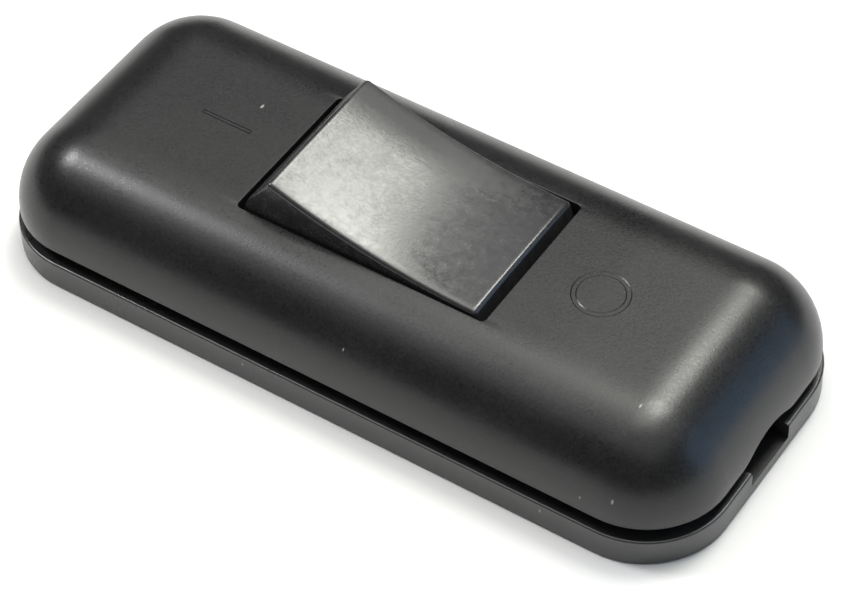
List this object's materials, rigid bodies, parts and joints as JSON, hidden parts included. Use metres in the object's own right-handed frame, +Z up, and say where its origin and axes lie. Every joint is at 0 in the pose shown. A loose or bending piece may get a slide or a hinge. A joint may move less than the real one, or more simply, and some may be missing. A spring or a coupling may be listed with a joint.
{
  "type": "inline cord switch",
  "caption": "Inline cord switch: pillow-shaped black plastic housing with a dished rocker on top, a cord entry at each end and a sprung seesaw contact mechanism inside.",
  "frame": {"origin": "Centre of the underside of the base.", "axes": "X runs along the cord towards the end marked O, which is pressed down at rest; Y runs across; Z points up out of the rocker."},
  "size_m": [0.0806, 0.0342, 0.0188],
  "materials": {
    "housing_plastic": "black moulded plastic with a fine spark-eroded texture",
    "rocker_plastic": "black moulded plastic, satin from handling",
    "plunger_plastic": "natural nylon",
    "spring_steel": "bright drawn wire",
    "contact_brass": "stamped sheet brass",
    "contact_silver": "silver contact alloy",
    "terminal_brass": "sawn and drilled brass bar",
    "screw_steel": "zinc plated",
    "clamp_plastic": "dark moulded plastic"
  },
  "bodies": {
    "housing": {"top_cover": "housing_plastic", "base_tray": "housing_plastic", "housing_screws": "screw_steel", "fixed_contact_front": "contact_silver", "fixed_contact_rear": "contact_silver", "supply_strip_front": "contact_brass", "supply_strip_rear": "contact_brass", "load_strip_front": "contact_brass", "load_strip_rear": "contact_brass", "supply_terminal_front": "terminal_brass", "supply_terminal_rear": "terminal_brass", "load_terminal_front": "terminal_brass", "load_terminal_rear": "terminal_brass", "terminal_screws": "screw_steel", "cord_clamp_supply": "clamp_plastic", "cord_clamp_load": "clamp_plastic", "clamp_screws": "screw_steel"},
    "rocker": {"rocker": "rocker_plastic", "plunger_spring_front": "spring_steel", "plunger_spring_rear": "spring_steel"},
    "plunger_front": {"plunger_front": "plunger_plastic"},
    "plunger_rear": {"plunger_rear": "plunger_plastic"},
    "lever_front": {"contact_lever_front": "contact_brass", "moving_contact_front": "contact_silver"},
    "lever_rear": {"contact_lever_rear": "contact_brass", "moving_contact_rear": "contact_silver"}
  },
  "joints": [
    {"name": "rocker_tilt", "type": "hinge", "parent": "housing", "child": "rocker", "pos_m": [0, 0, 0.0094], "axis": [0, -1, 0], "range_deg": [0, 22]},
    {"name": "plunger_front_slide", "type": "slide", "parent": "rocker", "child": "plunger_front", "axis": [0.1908, 0, 0.9816], "range_m": [0, 0.0005], "stiffness_N_per_m": 400, "springref_m": -0.002, "deforming": ["plunger_spring_front"]},
    {"name": "plunger_rear_slide", "type": "slide", "parent": "rocker", "child": "plunger_rear", "axis": [0.1908, 0, 0.9816], "range_m": [0, 0.0005], "stiffness_N_per_m": 400, "springref_m": -0.002, "deforming": ["plunger_spring_rear"]},
    {"name": "lever_front_tilt", "type": "hinge", "parent": "housing", "child": "lever_front", "pos_m": [0, -0.0042, 0.0046], "axis": [0, 1, 0], "range_deg": [0, 14]},
    {"name": "lever_rear_tilt", "type": "hinge", "parent": "housing", "child": "lever_rear", "pos_m": [0, 0.0042, 0.0046], "axis": [0, 1, 0], "range_deg": [0, 14]}
  ],
  "couplings": [
    {"joint": "lever_front_tilt", "follows": "rocker_tilt", "ratio": 0.63636},
    {"joint": "lever_rear_tilt", "follows": "rocker_tilt", "ratio": 0.63636}
  ]
}
